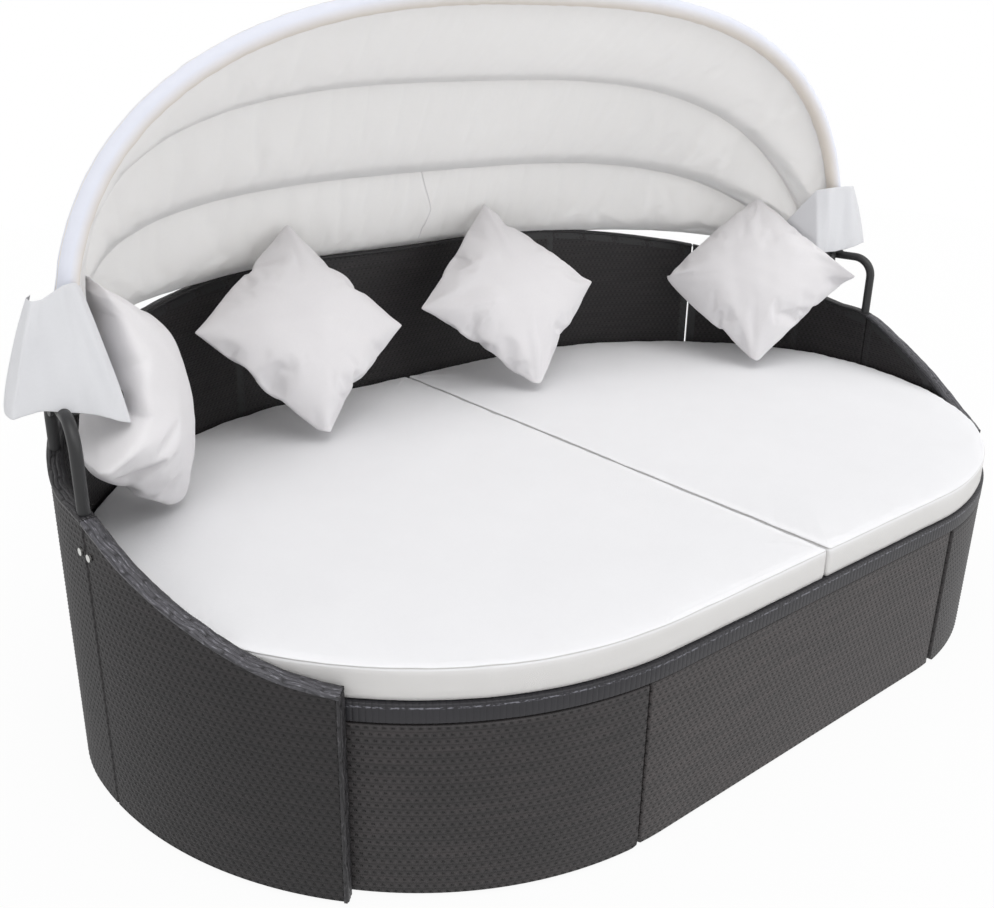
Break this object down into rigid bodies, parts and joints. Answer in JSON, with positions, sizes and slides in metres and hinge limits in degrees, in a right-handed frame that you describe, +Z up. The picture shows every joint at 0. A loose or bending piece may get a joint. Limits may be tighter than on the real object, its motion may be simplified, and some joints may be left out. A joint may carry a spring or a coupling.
{
  "type": "outdoor daybed with canopy",
  "caption": "Oval woven outdoor daybed with a curved back, wings, split mattress, loose pillows and a folding hooped canopy.",
  "frame": {"origin": "on the floor under the middle foot", "axes": "+X towards the sitter's left as they face out, -Y the open front of the seat, +Z up"},
  "size_m": [2.108, 1.2117, 1.2326],
  "materials": {
    "wicker": "woven resin strand, satin",
    "frame_steel": "black powder coat",
    "bow_paint": "dark grey powder coat on aluminium tube",
    "zinc": "zinc plated",
    "nylon": "matte",
    "canvas": "polyester canvas",
    "cover": "polyester cover",
    "linen": "soft weave"
  },
  "bodies": {
    "base": {"back_panel_frame": "frame_steel", "back_panel_skin": "wicker", "canopy_bracket_left": "frame_steel", "canopy_bracket_right": "frame_steel", "deck_frame_left": "frame_steel", "deck_frame_right": "frame_steel", "foot_back_left": "nylon", "foot_back_right": "nylon", "foot_centre": "nylon", "foot_front_left": "nylon", "foot_front_right": "nylon", "foot_side_left": "nylon", "foot_side_right": "nylon", "front_panel_left_frame": "frame_steel", "front_panel_left_skin": "wicker", "front_panel_middle_frame": "frame_steel", "front_panel_middle_skin": "wicker", "front_panel_right_frame": "frame_steel", "front_panel_right_skin": "wicker", "leg_back_left": "frame_steel", "leg_back_right": "frame_steel", "leg_centre": "frame_steel", "leg_front_left": "frame_steel", "leg_front_right": "frame_steel", "leg_side_left": "frame_steel", "leg_side_right": "frame_steel", "mattress_left": "cover", "mattress_right": "cover", "pillow_back_left": "linen", "pillow_back_right": "linen", "pillow_left": "linen", "pillow_right": "linen", "pivot_pin_left": "frame_steel", "pivot_pin_right": "frame_steel", "seam_bolt_left_front": "zinc", "seam_bolt_left_rear": "zinc", "seam_bolt_right_front": "zinc", "seam_bolt_right_rear": "zinc", "seat_rim_front": "wicker", "seat_rim_rear": "frame_steel", "side_panel_left_frame": "frame_steel", "side_panel_left_skin": "wicker", "side_panel_right_frame": "frame_steel", "side_panel_right_skin": "wicker", "wing_left_frame": "frame_steel", "wing_left_skin": "wicker", "wing_right_frame": "frame_steel", "wing_right_skin": "wicker"},
    "front_bow": {"front_bow": "bow_paint", "front_bow_sleeve": "canvas", "canopy_cloth_front": "canvas", "corner_flap_left": "canvas", "corner_flap_right": "canvas"},
    "second_bow": {"second_bow": "bow_paint", "canopy_cloth_middle": "canvas"},
    "third_bow": {"third_bow": "bow_paint", "canopy_cloth_rear": "canvas"},
    "rear_bow": {"rear_bow": "bow_paint"}
  },
  "joints": [
    {"name": "rear_bow_hinge", "type": "hinge", "parent": "base", "child": "rear_bow", "pos_m": [0, 0.065, 0.636], "axis": [-1, 0, 0], "range_deg": [-20, 0]},
    {"name": "third_bow_hinge", "type": "hinge", "parent": "rear_bow", "child": "third_bow", "pos_m": [0, 0.065, 0.636], "axis": [-1, 0, 0], "range_deg": [0, 8], "deforming": ["canopy_cloth_rear"]},
    {"name": "second_bow_hinge", "type": "hinge", "parent": "third_bow", "child": "second_bow", "pos_m": [0, 0.065, 0.636], "axis": [-1, 0, 0], "range_deg": [0, 24], "deforming": ["canopy_cloth_middle"]},
    {"name": "front_bow_hinge", "type": "hinge", "parent": "second_bow", "child": "front_bow", "pos_m": [0, 0.065, 0.636], "axis": [-1, 0, 0], "range_deg": [0, 24], "deforming": ["canopy_cloth_front"]}
  ],
  "couplings": [
    {"joint": "second_bow_hinge", "follows": "third_bow_hinge", "ratio": 3},
    {"joint": "front_bow_hinge", "follows": "third_bow_hinge", "ratio": 3}
  ]
}
